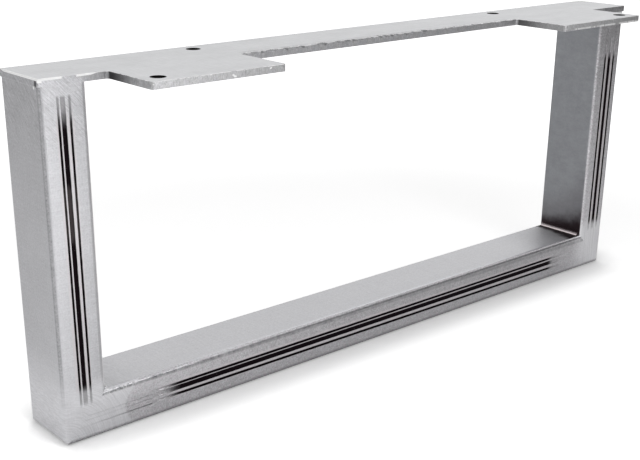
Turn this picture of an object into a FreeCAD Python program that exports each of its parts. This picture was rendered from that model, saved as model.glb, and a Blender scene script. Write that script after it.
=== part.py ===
import FreeCAD, Part
import math
import os
import Sketcher

# Welded steel furniture leg.
# Two uprights and a bottom rail, all of one rectangular tube, stand as an open frame.
# A flat plate with two ears and four holes closes the frame at the top and takes the furniture.
# The frame's depth is centred on Y = 0, its front looks along -Y, and it stands on Z = 0.

doc = FreeCAD.newDocument("FurnitureLeg")

SIZES = [
    # The whole leg.
    ("overall_length", 720, "end to end, along X"),
    ("overall_height", 300, "floor to the top of the plate"),
    # The tube, one stock for all three members.
    ("tube_depth", 60, "wide side of the tube, along Y"),
    ("tube_face", 40, "narrow side of the tube, seen from the front"),
    ("tube_wall", 3, "wall of the tube"),
    ("tube_edge_radius", 4, "outer radius of the tube's long edges"),
    ("tube_bore_radius", 1, "inner radius of the tube's long edges"),
    ("corner_round", 6, "outer bottom corners, ground round after welding"),
    # The mounting plate.
    ("plate_thickness", 6, "sheet that the plate is cut from"),
    ("ear_reach", 60, "how far the ears stand out of the front of the band"),
    ("ear_length", 125, "each ear along X"),
    ("ear_end_gap", 59, "end of the leg to the outer side of the ear"),
    ("notch_radius", 3, "inner corners where an ear leaves the band"),
    ("hole_diameter", 11, "screw holes"),
    ("hole_inset", 15, "hole centre to the two plate edges beside it"),
    # The grooved band along the middle of each narrow side.
    ("groove_wide", 4.2, "middle groove"),
    ("groove_narrow", 2.2, "each outer groove"),
    ("ridge_width", 2.3, "ridge left standing between two grooves"),
    ("groove_depth", 1.0, "full depth of the grooves"),
    ("groove_lip", 0.25, "depth at the rounded ends, where the floors start to fall"),
    # How far the grooves stop short of each member's ends, and how long their floors fall.
    ("left_foot_gap", 32, "floor to the lower end of the left grooves"),
    ("left_foot_fall", 26, "fall of the left grooves at the foot"),
    ("left_head_gap", 7, "plate to the upper end of the left grooves"),
    ("left_head_fall", 42, "fall of the left grooves at the head"),
    ("right_foot_gap", 42, "floor to the lower end of the right grooves"),
    ("right_foot_fall", 20, "fall of the right grooves at the foot"),
    ("right_head_gap", 24, "plate to the upper end of the right grooves"),
    ("right_head_fall", 36, "fall of the right grooves at the head"),
    ("rail_left_gap", 84, "left end of the leg to the rail's grooves"),
    ("rail_left_fall", 40, "fall of the rail's grooves at the left"),
    ("rail_right_gap", 76, "right end of the leg to the rail's grooves"),
    ("rail_right_fall", 44, "fall of the rail's grooves at the right"),
    # The weld metal left standing in the inner corners.
    ("weld_leg", 3, "side of a bead on each face that it joins"),
    ("weld_crown", 0.5, "how far a bead's face bulges past a straight fillet"),
]

sheet = doc.addObject("Spreadsheet::Sheet", "Sizes")
for row, (alias, value, meaning) in enumerate(SIZES, start=1):
    sheet.set(f"A{row}", str(value))
    sheet.setAlias(f"A{row}", alias)
    sheet.set(f"B{row}", meaning)
doc.recompute()

FIRST_POINT, END_POINT, CENTRE_POINT = range(1, 4)
ORIGIN = -FIRST_POINT
FLIPPED = {"left": False, "right": True}


def worked_out(formula):
    """The number that a formula on the sizes gives, for a sketch's starting shape."""
    return float(sheet.evalExpression(formula))


def origin_plane(body, role):
    """One of the three planes through a body's own origin."""
    for feature in body.Origin.OriginFeatures:
        if feature.Role == role:
            return feature
    raise ValueError(f"{body.Label} has no {role}")


def new_sketch(body, role, name, offset=None):
    """A sketch on an origin plane of the body, moved along its normal by a formula."""
    sketch = body.newObject("Sketcher::SketchObject", name)
    sketch.AttachmentSupport = (origin_plane(body, role), [""])
    sketch.MapMode = "FlatFace"
    if offset:
        sketch.setExpression("AttachmentOffset.Base.z", offset)
    return sketch


def bind(sketch, kind, where, formula):
    """Adds one measured constraint and ties it to a formula on the sizes."""
    number = sketch.addConstraint(Sketcher.Constraint(kind, *where, worked_out(formula)))
    sketch.renameConstraint(number, f"{kind.lower()}_{number}")
    sketch.setExpression(f"Constraints.{kind.lower()}_{number}", formula)


def place_point(sketch, shape, point, across, up):
    """Puts a point of a shape at the place that two formulas give."""
    bind(sketch, "DistanceX", (ORIGIN, FIRST_POINT, shape, point), across)
    bind(sketch, "DistanceY", (ORIGIN, FIRST_POINT, shape, point), up)


def add_line(sketch, start, end):
    """A line between two places, each a pair of formulas, as a starting shape."""
    corners = [FreeCAD.Vector(worked_out(across), worked_out(up), 0) for across, up in (start, end)]
    return sketch.addGeometry(Part.LineSegment(*corners))


def add_arc(sketch, centre, radius, start_degrees, end_degrees):
    """An arc with its centre and radius bound, as a starting shape."""
    middle = FreeCAD.Vector(worked_out(centre[0]), worked_out(centre[1]), 0)
    circle = Part.Circle(middle, FreeCAD.Vector(0, 0, 1), worked_out(radius))
    span = (math.radians(start_degrees), math.radians(end_degrees))
    shape = sketch.addGeometry(Part.ArcOfCircle(circle, *span))
    bind(sketch, "Radius", (shape,), radius)
    return shape


def join(sketch, kind, first, first_point, second, second_point):
    """Makes two ends meet, smoothly where the kind is Tangent."""
    sketch.addConstraint(Sketcher.Constraint(kind, first, first_point, second, second_point))


def draw_polygon(sketch, corners):
    """A closed outline of straight lines through corners given as pairs of formulas."""
    count = len(corners)
    lines = [add_line(sketch, corners[i], corners[(i + 1) % count]) for i in range(count)]
    for i, line in enumerate(lines):
        join(sketch, "Coincident", line, END_POINT, lines[(i + 1) % count], FIRST_POINT)
        place_point(sketch, line, FIRST_POINT, *corners[i])


def draw_rounded_rectangle(sketch, width, height, radius):
    """A rectangle about the origin with four equal round corners."""
    side, top = f"({width}) / 2", f"({height}) / 2"
    inner_side, inner_top = f"({side} - {radius})", f"({top} - {radius})"
    centres = [(inner_side, inner_top), (f"-{inner_side}", inner_top),
               (f"-{inner_side}", f"-{inner_top}"), (inner_side, f"-{inner_top}")]
    arcs = []
    for i, centre in enumerate(centres):
        arcs.append(add_arc(sketch, centre, radius, 90 * i, 90 * (i + 1)))
        place_point(sketch, arcs[i], CENTRE_POINT, *centre)
    sides = [((inner_side, top), (f"-{inner_side}", top)),
             ((f"-{side}", inner_top), (f"-{side}", f"-{inner_top}")),
             ((f"-{inner_side}", f"-{top}"), (inner_side, f"-{top}")),
             ((side, f"-{inner_top}"), (side, inner_top))]
    for i, (start, end) in enumerate(sides):
        line = add_line(sketch, start, end)
        join(sketch, "Tangent", arcs[i], END_POINT, line, FIRST_POINT)
        join(sketch, "Tangent", line, END_POINT, arcs[(i + 1) % len(arcs)], FIRST_POINT)


def draw_slot(sketch, middle, width, low, high):
    """An upright slot with half-round ends, from one height to another."""
    radius = f"({width}) / 2"
    low_centre = (middle, f"{low} + {radius}")
    high_centre = (middle, f"{high} - {radius}")
    bottom = add_arc(sketch, low_centre, radius, 180, 360)
    top = add_arc(sketch, high_centre, radius, 0, 180)
    place_point(sketch, bottom, CENTRE_POINT, *low_centre)
    place_point(sketch, top, CENTRE_POINT, *high_centre)
    right = add_line(sketch, (f"{middle} + {radius}", low_centre[1]), (f"{middle} + {radius}", high_centre[1]))
    left = add_line(sketch, (f"{middle} - {radius}", high_centre[1]), (f"{middle} - {radius}", low_centre[1]))
    join(sketch, "Tangent", bottom, END_POINT, right, FIRST_POINT)
    join(sketch, "Tangent", right, END_POINT, top, FIRST_POINT)
    join(sketch, "Tangent", top, END_POINT, left, FIRST_POINT)
    join(sketch, "Tangent", left, END_POINT, bottom, FIRST_POINT)


def add_pad(body, name, sketch, length, midplane=False):
    """Material grown from a sketch by a length."""
    pad = body.newObject("PartDesign::Pad", name)
    pad.Profile = sketch
    pad.Midplane = midplane
    pad.setExpression("Length", length)
    return pad


def add_pocket(body, name, sketch, length=None, midplane=False):
    """Material cut away from a sketch, by a length or right through both ways."""
    volume_before = body.Shape.Volume
    pocket = body.newObject("PartDesign::Pocket", name)
    pocket.Profile = sketch
    pocket.Midplane = midplane
    if length:
        pocket.setExpression("Length", length)
    else:
        pocket.Type = "ThroughAll"
    doc.recompute()
    if not pocket.Shape.Volume < volume_before:
        raise RuntimeError(f"{body.Label}: {name} cuts nothing")
    return pocket


def cut_mitre(body, name, end, inward):
    """Cuts a tube's end at 45 degrees and rounds the point that this leaves outside.

    end is the height of the tube's end, and inward is + or - as the tube goes up or down from it.
    """
    outward = {"+": "-", "-": "+"}[inward]
    mitre = new_sketch(body, "XZ_Plane", f"{name}_line")
    draw_polygon(mitre, [
        ("-Sizes.tube_face", f"{end} {outward} Sizes.tube_face / 2"),
        ("Sizes.tube_face", f"{end} {inward} Sizes.tube_face * 3 / 2"),
        ("Sizes.tube_face", f"{end} {outward} Sizes.tube_face / 2"),
    ])
    add_pocket(body, name, mitre, midplane=True)

    side = "-Sizes.tube_face / 2"
    tangent_height = f"{end} {inward} Sizes.corner_round"
    rounded = new_sketch(body, "XZ_Plane", f"{name}_round_line")
    centre = (f"{side} + Sizes.corner_round", tangent_height)
    on_side = (side, tangent_height)
    on_end = (f"{side} + Sizes.corner_round", end)
    below_end = (f"{side} + Sizes.corner_round", f"{end} {outward} Sizes.corner_round")
    outer_corner = (f"{side} - Sizes.corner_round", f"{end} {outward} Sizes.corner_round")
    beside = (f"{side} - Sizes.corner_round", tangent_height)
    path = [on_end, below_end, outer_corner, beside, on_side]
    lines = [add_line(rounded, path[i], path[i + 1]) for i in range(len(path) - 1)]
    for i, line in enumerate(lines):
        rounded.addConstraint(Sketcher.Constraint(("Vertical", "Horizontal")[i % 2], line))
        if i:
            join(rounded, "Coincident", lines[i - 1], END_POINT, line, FIRST_POINT)
    place_point(rounded, lines[2], FIRST_POINT, *outer_corner)
    if inward == "+":
        arc = add_arc(rounded, centre, "Sizes.corner_round", 180, 270)
        arc_on_side, arc_on_end = FIRST_POINT, END_POINT
    else:
        arc = add_arc(rounded, centre, "Sizes.corner_round", 90, 180)
        arc_on_side, arc_on_end = END_POINT, FIRST_POINT
    place_point(rounded, arc, CENTRE_POINT, *centre)
    join(rounded, "Coincident", arc, arc_on_end, lines[0], FIRST_POINT)
    join(rounded, "Coincident", arc, arc_on_side, lines[-1], END_POINT)
    join(rounded, "Vertical", arc, CENTRE_POINT, arc, arc_on_end)
    join(rounded, "Horizontal", arc, CENTRE_POINT, arc, arc_on_side)
    add_pocket(body, f"{name}_round", rounded, midplane=True)


def cut_grooves(body, low, low_fall, high, high_fall):
    """Presses three grooves into the front and the back of a tube.

    They begin with rounded ends one lip deep, and their floors fall from there to the full depth.
    """
    spacing = "(Sizes.groove_wide + Sizes.groove_narrow) / 2 + Sizes.ridge_width"
    grooves = [("middle", "0", "Sizes.groove_wide"),
               ("outer", f"-({spacing})", "Sizes.groove_narrow"),
               ("inner", f"({spacing})", "Sizes.groove_narrow")]
    ends = new_sketch(body, "XZ_Plane", "groove_ends_line", "Sizes.tube_depth / 2")
    for name, middle, width in grooves:
        draw_slot(ends, middle, width, low, high)
    cuts = [add_pocket(body, "groove_ends", ends, "Sizes.groove_lip")]
    face = "-Sizes.tube_depth / 2"
    lip, floor = f"{face} + Sizes.groove_lip", f"{face} + Sizes.groove_depth"
    outside = f"{face} - Sizes.groove_depth"
    for name, middle, width in grooves:
        first, last = f"{low} + ({width}) / 2", f"{high} - ({width}) / 2"
        run = new_sketch(body, "YZ_Plane", f"{name}_groove_line", middle)
        draw_polygon(run, [
            (outside, first), (lip, first), (floor, f"{first} + {low_fall}"),
            (floor, f"{last} - {high_fall}"), (lip, last), (outside, last),
        ])
        cuts.append(add_pocket(body, f"{name}_groove", run, width, midplane=True))
    both = body.newObject("PartDesign::Mirrored", "grooves_both_sides")
    both.Originals = cuts
    both.MirrorPlane = (origin_plane(body, "XZ_Plane"), [""])
    body.Tip = both


def new_tube(label, length, mitred_head, low, low_fall, high, high_fall):
    """A length of the tube along its own Z, its outer side towards -X, mitred at its foot.

    low and high are the heights between which the grooves run.
    """
    body = doc.addObject("PartDesign::Body", label)
    body.Label = label
    section = new_sketch(body, "XY_Plane", "section")
    draw_rounded_rectangle(section, "Sizes.tube_face", "Sizes.tube_depth", "Sizes.tube_edge_radius")
    bore_width = "Sizes.tube_face - 2 * Sizes.tube_wall"
    bore_depth = "Sizes.tube_depth - 2 * Sizes.tube_wall"
    draw_rounded_rectangle(section, bore_width, bore_depth, "Sizes.tube_bore_radius")
    add_pad(body, "stock", section, length)
    doc.recompute()
    cut_mitre(body, "foot_mitre", "0", "+")
    if mitred_head:
        cut_mitre(body, "head_mitre", length, "-")
    cut_grooves(body, low, low_fall, high, high_fall)
    return body


def new_upright(side):
    """An upright from the floor to the plate, with its outer side at that end of the leg."""
    length = "Sizes.overall_height - Sizes.plate_thickness"
    label = f"{side}_upright"
    body = new_tube(label, length, False, f"Sizes.{side}_foot_gap", f"Sizes.{side}_foot_fall",
                    f"{length} - Sizes.{side}_head_gap", f"Sizes.{side}_head_fall")
    middle = "(Sizes.overall_length - Sizes.tube_face) / 2"
    if FLIPPED[side]:
        body.Placement.Rotation = FreeCAD.Rotation(FreeCAD.Vector(0, 0, 1), 180)
        body.setExpression("Placement.Base.x", middle)
    else:
        body.setExpression("Placement.Base.x", f"-({middle})")
    return body


def new_rail():
    """The bottom rail, with its foot at the right end and its outer side on the floor."""
    length = "Sizes.overall_length"
    body = new_tube("bottom_rail", length, True, "Sizes.rail_right_gap", "Sizes.rail_right_fall",
                    f"{length} - Sizes.rail_left_gap", "Sizes.rail_left_fall")
    body.Placement.Rotation = FreeCAD.Rotation(FreeCAD.Vector(0, 1, 0), -90)
    body.setExpression("Placement.Base.x", f"{length} / 2")
    body.setExpression("Placement.Base.z", "Sizes.tube_face / 2")
    return body


def upright_edges_at(shape, places):
    """Names of the shape's upright edges that stand at the given places in plan."""
    names = []
    for number, edge in enumerate(shape.Edges, start=1):
        low, high = edge.Vertexes[0].Point, edge.Vertexes[-1].Point
        is_upright = math.hypot(high.x - low.x, high.y - low.y) < 1e-6
        if is_upright and any(math.hypot(low.x - x, low.y - y) < 1e-6 for x, y in places):
            names.append(f"Edge{number}")
    return names


def new_plate():
    """The plate: a band as deep as the tube, over the whole leg, with an ear near each end."""
    body = doc.addObject("PartDesign::Body", "mounting_plate")
    body.Label = "mounting_plate"
    end = "Sizes.overall_length / 2"
    back, front = "Sizes.tube_depth / 2", "-Sizes.tube_depth / 2"
    ear_outer = f"({end} - Sizes.ear_end_gap)"
    ear_inner = f"({ear_outer} - Sizes.ear_length)"
    ear_front = f"{front} - Sizes.ear_reach"
    outline = new_sketch(body, "XY_Plane", "outline")
    draw_polygon(outline, [
        (f"-{end}", back), (f"-{end}", front),
        (f"-{ear_outer}", front), (f"-{ear_outer}", ear_front),
        (f"-{ear_inner}", ear_front), (f"-{ear_inner}", front),
        (ear_inner, front), (ear_inner, ear_front),
        (ear_outer, ear_front), (ear_outer, front),
        (end, front), (end, back),
    ])
    blank = add_pad(body, "blank", outline, "Sizes.plate_thickness")
    doc.recompute()

    notches = body.newObject("PartDesign::Fillet", "notch_corners")
    corners = [(sign * worked_out(side), worked_out(front)) for sign in (1, -1) for side in (ear_inner, ear_outer)]
    notches.Base = (blank, upright_edges_at(blank.Shape, corners))
    notches.setExpression("Radius", "Sizes.notch_radius")
    doc.recompute()

    centres = new_sketch(body, "XY_Plane", "hole_centres", "Sizes.plate_thickness")
    front_across, front_along = f"({ear_outer} - Sizes.hole_inset)", f"{ear_front} + Sizes.hole_inset"
    back_across, back_along = f"({ear_inner} + Sizes.hole_inset)", f"{back} - Sizes.hole_inset"
    for across, along in ((front_across, front_along), (back_across, back_along)):
        for side in ("-", "+"):
            place = (f"0 {side} {across}", along)
            middle = FreeCAD.Vector(worked_out(place[0]), worked_out(place[1]), 0)
            circle = Part.Circle(middle, FreeCAD.Vector(0, 0, 1), worked_out("Sizes.hole_diameter / 2"))
            hole = centres.addGeometry(circle)
            place_point(centres, hole, CENTRE_POINT, *place)
            bind(centres, "Diameter", (hole,), "Sizes.hole_diameter")
    doc.recompute()
    holes = body.newObject("PartDesign::Hole", "screw_holes")
    holes.Profile = centres
    holes.DepthType = "ThroughAll"
    holes.DrillPoint = "Flat"
    holes.setExpression("Diameter", "Sizes.hole_diameter")
    body.setExpression("Placement.Base.z", "Sizes.overall_height - Sizes.plate_thickness")
    return body


def new_weld(label, turn, across, up):
    """A bead along the flat of the tube's wide side, in the corner between two faces.

    Its own corner lies on its Y axis, with one face along +X and the other along +Z.
    """
    body = doc.addObject("PartDesign::Body", label)
    body.Label = label
    leg = "Sizes.weld_leg"
    section = new_sketch(body, "XZ_Plane", "section")
    on_face = add_line(section, ("0", "0"), (leg, "0"))
    on_side = add_line(section, ("0", leg), ("0", "0"))
    place_point(section, on_face, FIRST_POINT, "0", "0")
    place_point(section, on_face, END_POINT, leg, "0")
    place_point(section, on_side, FIRST_POINT, "0", leg)
    join(section, "Coincident", on_side, END_POINT, on_face, FIRST_POINT)
    chord, rise = worked_out(f"{leg} * sqrt(2)"), worked_out("Sizes.weld_crown")
    radius = f"(({leg} ^ 2) / 2 + Sizes.weld_crown ^ 2) / (2 * Sizes.weld_crown)"
    half_angle = math.degrees(math.asin(chord / 2 / worked_out(radius)))
    middle = f"({leg} / 2 - ({radius} - Sizes.weld_crown) / sqrt(2))"
    crown = add_arc(section, (middle, middle), radius, 45 - half_angle, 45 + half_angle)
    join(section, "Coincident", on_face, END_POINT, crown, FIRST_POINT)
    join(section, "Coincident", crown, END_POINT, on_side, FIRST_POINT)
    add_pad(body, "bead", section, "Sizes.tube_depth - 2 * Sizes.tube_edge_radius", midplane=True)
    body.Placement.Rotation = FreeCAD.Rotation(FreeCAD.Vector(*turn[:3]), turn[3])
    body.setExpression("Placement.Base.x", across)
    body.setExpression("Placement.Base.z", up)
    return body


def new_welds():
    """The four beads inside the frame: two on the rail and two under the plate."""
    inner_side = "(Sizes.overall_length / 2 - Sizes.tube_face)"
    under_plate = "Sizes.overall_height - Sizes.plate_thickness"
    return [
        new_weld("left_corner_weld", (0, 1, 0, 0), f"-{inner_side}", "Sizes.tube_face"),
        new_weld("right_corner_weld", (0, 0, 1, 180), inner_side, "Sizes.tube_face"),
        new_weld("left_plate_weld", (0, 1, 0, 90), f"-{inner_side}", under_plate),
        new_weld("right_plate_weld", (0, 1, 0, 180), inner_side, under_plate),
    ]


def check(pieces):
    """Stops where any object failed, or a piece is missing, broken or not one solid."""
    for item in doc.Objects:
        if any(state in ("Invalid", "Error") for state in item.State):
            raise RuntimeError(f"{item.Name} failed: {item.State}")
    for piece in pieces:
        shape = piece.Shape
        if shape.isNull() or not shape.isValid() or len(shape.Solids) != 1:
            raise RuntimeError(f"{piece.Label} has no single valid solid")


def main():
    """Builds every piece, checks it and writes it to its own file."""
    pieces = [new_plate(), new_upright("left"), new_upright("right"), new_rail()]
    pieces += new_welds()
    doc.recompute()
    check(pieces)
    os.makedirs("parts", exist_ok=True)
    for piece in pieces:
        piece.Shape.exportStep(os.path.join("parts", f"{piece.Label}.step"))
        box = piece.Shape.BoundBox
        corners = (box.XMin, box.YMin, box.ZMin, box.XMax, box.YMax, box.ZMax)
        print(piece.Label, f"{piece.Shape.Volume / 1000:.2f} cm3", [round(value, 2) for value in corners])


main()
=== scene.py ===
# %% [markdown]
# The furniture leg.
# Two uprights and a bottom rail of one rectangular steel tube, mitred, welded and ground flush, carry a
# flat plate with two ears. Everything is raw steel, so nearly all of its look comes from four things: true
# edges, which catch the light, the direction of the sanding marks, the dark scale that stays in the rolled
# grooves, and a plain studio for the metal to mirror.
# The solids are loaded first and stay where they are. Each visible piece is then modelled again over its
# solid, at the size that the solid has, with the small forms that the solid leaves out.

# %% The solids and their box
import math

import bmesh
import bpy
from mathutils import Matrix, Vector, noise


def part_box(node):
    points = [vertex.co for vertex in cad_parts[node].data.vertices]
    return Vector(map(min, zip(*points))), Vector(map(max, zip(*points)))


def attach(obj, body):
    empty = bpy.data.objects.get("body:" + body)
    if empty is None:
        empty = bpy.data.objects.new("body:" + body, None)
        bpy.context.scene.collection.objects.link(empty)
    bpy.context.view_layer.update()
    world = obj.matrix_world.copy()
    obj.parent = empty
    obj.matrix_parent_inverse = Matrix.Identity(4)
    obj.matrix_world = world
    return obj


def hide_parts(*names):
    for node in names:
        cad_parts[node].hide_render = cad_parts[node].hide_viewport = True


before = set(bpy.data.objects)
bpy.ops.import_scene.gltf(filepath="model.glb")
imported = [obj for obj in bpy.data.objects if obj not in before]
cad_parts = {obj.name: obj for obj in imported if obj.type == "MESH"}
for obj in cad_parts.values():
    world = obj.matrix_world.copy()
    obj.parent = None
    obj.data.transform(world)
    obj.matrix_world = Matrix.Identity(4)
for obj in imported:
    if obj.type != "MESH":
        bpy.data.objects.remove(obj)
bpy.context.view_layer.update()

print("solids:", sorted(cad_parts))

# %% [markdown]
# The sizes.
# Blender works in metres, and a maker of such a leg works in millimetres, so one factor turns one into the
# other. What the solids can tell is read from their boxes. Only what a box can't tell, such as the wall or
# the width of a groove, is written here, with the same values that the solids were made with.

# %% Sizes read from the solids
MM = 0.001
PLATE_LOW, PLATE_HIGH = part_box("mounting_plate")
UPRIGHT_LOW, UPRIGHT_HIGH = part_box("left_upright")
RAIL_LOW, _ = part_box("bottom_rail")
END = PLATE_HIGH.x
TOP = PLATE_HIGH.z
UNDER_PLATE = PLATE_LOW.z
HALF_DEPTH = PLATE_HIGH.y
FACE = UPRIGHT_HIGH.x - UPRIGHT_LOW.x
EAR_FRONT = PLATE_LOW.y
print(f"leg {2 * END / MM:.0f} mm long and {TOP / MM:.0f} mm high")
print(f"tube {2 * HALF_DEPTH / MM:.0f} by {FACE / MM:.0f} mm")

# %% Sizes that a box can't tell
WALL = 3 * MM
EDGE_RADIUS = 4 * MM
CORNER_ROUND = 6 * MM
GROOVE_WIDE = 4.2 * MM
GROOVE_NARROW = 2.2 * MM
GROOVE_DEPTH = 1.0 * MM
EAR_LENGTH = 125 * MM
EAR_END_GAP = 59 * MM
NOTCH_RADIUS = 3 * MM
HOLE_RADIUS = 5.5 * MM
HOLE_INSET = 15 * MM
WELD_LEG = 3 * MM

# %% [markdown]
# Hands for the modelling.
# An operator works on all that is selected, so each step first clears the selection and then picks what a
# person would click: the edges that run along the tube, the faces on its front, the corners of a notch.
# These few helpers are that picking, and starting and ending a piece.

# %% Starting, picking and ending
def clear_selection():
    """Leaves edit mode and lets go of everything."""
    if bpy.context.object and bpy.context.object.mode != "OBJECT":
        bpy.ops.object.mode_set(mode="OBJECT")
    bpy.ops.object.select_all(action="DESELECT")


def start_block(name, low, high):
    """A block between two corners, open in edit mode."""
    clear_selection()
    low, high = Vector(low), Vector(high)
    bpy.ops.mesh.primitive_cube_add(size=1, location=(low + high) / 2, scale=high - low)
    block = bpy.context.object
    block.name = block.data.name = name
    bpy.ops.object.transform_apply(location=True, rotation=True, scale=True)
    bpy.ops.object.mode_set(mode="EDIT")
    return block


def pick(kind, test):
    """Selects the vertices, edges or faces of the open piece that pass a test, and nothing else."""
    bpy.ops.mesh.select_mode(type=kind)
    bpy.ops.mesh.select_all(action="DESELECT")
    mesh = bmesh.from_edit_mesh(bpy.context.object.data)
    items = {"VERT": mesh.verts, "EDGE": mesh.edges, "FACE": mesh.faces}[kind]
    found = [item for item in items if test(item)]
    for item in found:
        item.select_set(True)
    mesh.select_flush_mode()
    bmesh.update_edit_mesh(bpy.context.object.data)
    return len(found)


def middle(edge):
    """The middle of an edge."""
    return (edge.verts[0].co + edge.verts[1].co) / 2


def runs_along(edge, axis):
    """True where an edge runs along X, Y or Z, given as 0, 1 or 2."""
    step = edge.verts[1].co - edge.verts[0].co
    return abs(step[axis]) > 0.999 * step.length


def near(a, b, slack=0.02 * MM):
    """True where two measures are the same to a few hundredths of a millimetre."""
    return abs(a - b) < slack


# %% Finishing a piece with modifiers
def apply_modifier(piece, kind, **settings):
    """Adds one modifier to a piece with its settings and applies it."""
    clear_selection()
    bpy.context.view_layer.objects.active = piece
    piece.select_set(True)
    modifier = piece.modifiers.new(kind.title(), kind)
    for setting, value in settings.items():
        setattr(modifier, setting, value)
    bpy.ops.object.modifier_apply(modifier=modifier.name)


def smooth(piece, degrees=32):
    """Shades round stretches smooth and keeps flats flat and corners sharp."""
    clear_selection()
    bpy.context.view_layer.objects.active = piece
    piece.select_set(True)
    bpy.ops.object.shade_smooth_by_angle(angle=math.radians(degrees))
    apply_modifier(piece, "WEIGHTED_NORMAL", weight=100, keep_sharp=True)


def report(piece):
    """Prints a piece's box in millimetres and its number of faces."""
    corners = [vertex.co for vertex in piece.data.vertices]
    low = [round(min(c[axis] for c in corners) / MM, 2) for axis in range(3)]
    high = [round(max(c[axis] for c in corners) / MM, 2) for axis in range(3)]
    print(f"{piece.name}: {low} to {high} mm, {len(piece.data.polygons)} faces")


# %% [markdown]
# The tube.
# Rectangular steel tube is rolled from strip, so its four long edges are round outside and inside, and its
# ends are sawn open. A block with its long edges bevelled has the outside, deleting its two ends makes it a
# sleeve, and Solidify gives it its wall. Cutting the mitre after that leaves the ring of sawn wall that a
# real mitre has, because Bisect fills the cut and leaves the bore open.

# %% A length of tube
def start_tube(name, low, high, along):
    """A hollow length of tube between two corners, its own direction 0 for X or 2 for Z."""
    tube = start_block(name, low, high)
    pick("EDGE", lambda edge: runs_along(edge, along))
    bpy.ops.mesh.bevel(offset=EDGE_RADIUS, segments=7, profile=0.5, affect="EDGES")
    pick("FACE", lambda face: abs(face.normal[along]) > 0.99)
    bpy.ops.mesh.delete(type="FACE")
    apply_modifier(tube, "SOLIDIFY", thickness=WALL, offset=-1, use_even_offset=True, use_rim=True)
    bpy.ops.object.mode_set(mode="EDIT")
    return tube


def saw(point, normal, test=lambda face: True, keep_both=False):
    """Cuts the faces that pass a test on a plane, and drops what the normal points at unless both stay."""
    pick("FACE", test)
    bpy.ops.mesh.bisect(plane_co=point, plane_no=normal, clear_outer=not keep_both, use_fill=not keep_both)


# %% The mitres and the ground corners
ROUND_CUTS = 5


def cut_mitre(side, of_rail):
    """Mitres the open tube at a bottom corner, -1 left or 1 right, and rounds off its point."""
    corner = Vector((side * END, 0, RAIL_LOW.z))
    across = Vector((side, 0, 1)) if of_rail else Vector((-side, 0, -1))
    saw(corner, across)
    centre = corner + Vector((-side * CORNER_ROUND, 0, CORNER_ROUND))
    flat, mitre = (90, 45) if of_rail else (0, 45)
    for cut in range(ROUND_CUTS):
        angle = math.radians(flat + (mitre - flat) * (cut + 0.5) / ROUND_CUTS)
        outward = Vector((side * math.cos(angle), 0, -math.sin(angle)))
        saw(centre + outward * CORNER_ROUND, outward)


# %% [markdown]
# The grooved band.
# Three grooves are rolled side by side into the narrow faces, a wide one between two narrow ones, and they
# run out to nothing before each corner, where the welds were ground flush. A groove is a small form along a
# long face, so the face gets just the lines that the groove needs: a few columns down each wall, close
# together, and a few stations where the floor falls. Each corner point then carries a weight from 0 on the
# face to 1 on the floor, and Displace sinks the points by their weight. The same formula makes the walls
# round at the rim and at the floor, and lets the floor rise to the face at both ends. The rollers wandered a
# little, so each member has its grooves at its own places across the face, and some drift a hair sideways for
# each millimetre along it. The points of those grooves are moved by the same drift before they sink.

# %% The grooves' section and fall
WALL_COLUMNS = 5
WALL_RUN = 0.6 * MM
FALL_STATIONS = 10
GROOVE_WIDTHS = [GROOVE_NARROW, GROOVE_WIDE, GROOVE_NARROW]
GROOVE_PLACES = {"left": [-4.4, -0.2, 5.3], "right": [-5.9, 1.5, 9.2], "rail": [-6.4, -0.3, 4.2]}
GROOVE_DRIFT = {"left": [-0.005, -0.005, -0.003], "right": [0, 0, 0], "rail": [-0.0030, -0.0016, 0]}
DRIFT_FROM = {"left": 160, "right": 160, "rail": 0}
GROOVES = {}
for member, places in GROOVE_PLACES.items():
    GROOVES[member] = [(place * MM, width) for place, width in zip(places, GROOVE_WIDTHS)]


def ease(share):
    """A share from 0 to 1 that leaves 0 and reaches 1 gently."""
    share = min(max(share, 0), 1)
    return share * share * (3 - 2 * share)


def column_places(member):
    """Where the lines along a member's grooves lie, from the middle of the face."""
    places = []
    for centre, width in GROOVES[member]:
        for step in range(WALL_COLUMNS + 1):
            reach = width / 2 - WALL_RUN * step / WALL_COLUMNS
            places += [centre - reach, centre + reach]
    return sorted(places)


def section_share(across, member):
    """How deep a point lies for its place across the face, as a share of the full depth."""
    return max(ease((width / 2 - abs(across - centre)) / WALL_RUN) for centre, width in GROOVES[member])


def drifted(across, along, member):
    """How far the groove at a place across a member has wandered sideways at a place along it."""
    gaps = [abs(across - centre) for centre, _ in GROOVES[member]]
    drift = GROOVE_DRIFT[member][gaps.index(min(gaps))]
    return drift * (along - DRIFT_FROM[member] * MM)


def fall_share(along, run):
    """How deep the floor lies at a place along the tube, as a share of the full depth."""
    start, start_fall, end, end_fall = run
    share = min((along - start) / start_fall, (end - along) / end_fall, 1)
    return math.sin(math.pi / 2 * max(share, 0))


def station_places(run):
    """Where the lines across the grooves lie, from one end to the other."""
    start, start_fall, end, end_fall = run
    falling = [start + start_fall * step / FALL_STATIONS for step in range(FALL_STATIONS + 1)]
    rising = [end - end_fall * step / FALL_STATIONS for step in range(FALL_STATIONS + 1)]
    return falling + rising


# %% Rolling the grooves into a tube
def on_skin(face):
    """True for the outer front and back faces of a tube."""
    return abs(face.normal.y) > 0.99 and near(abs(face.calc_center_median().y), HALF_DEPTH)


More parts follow.
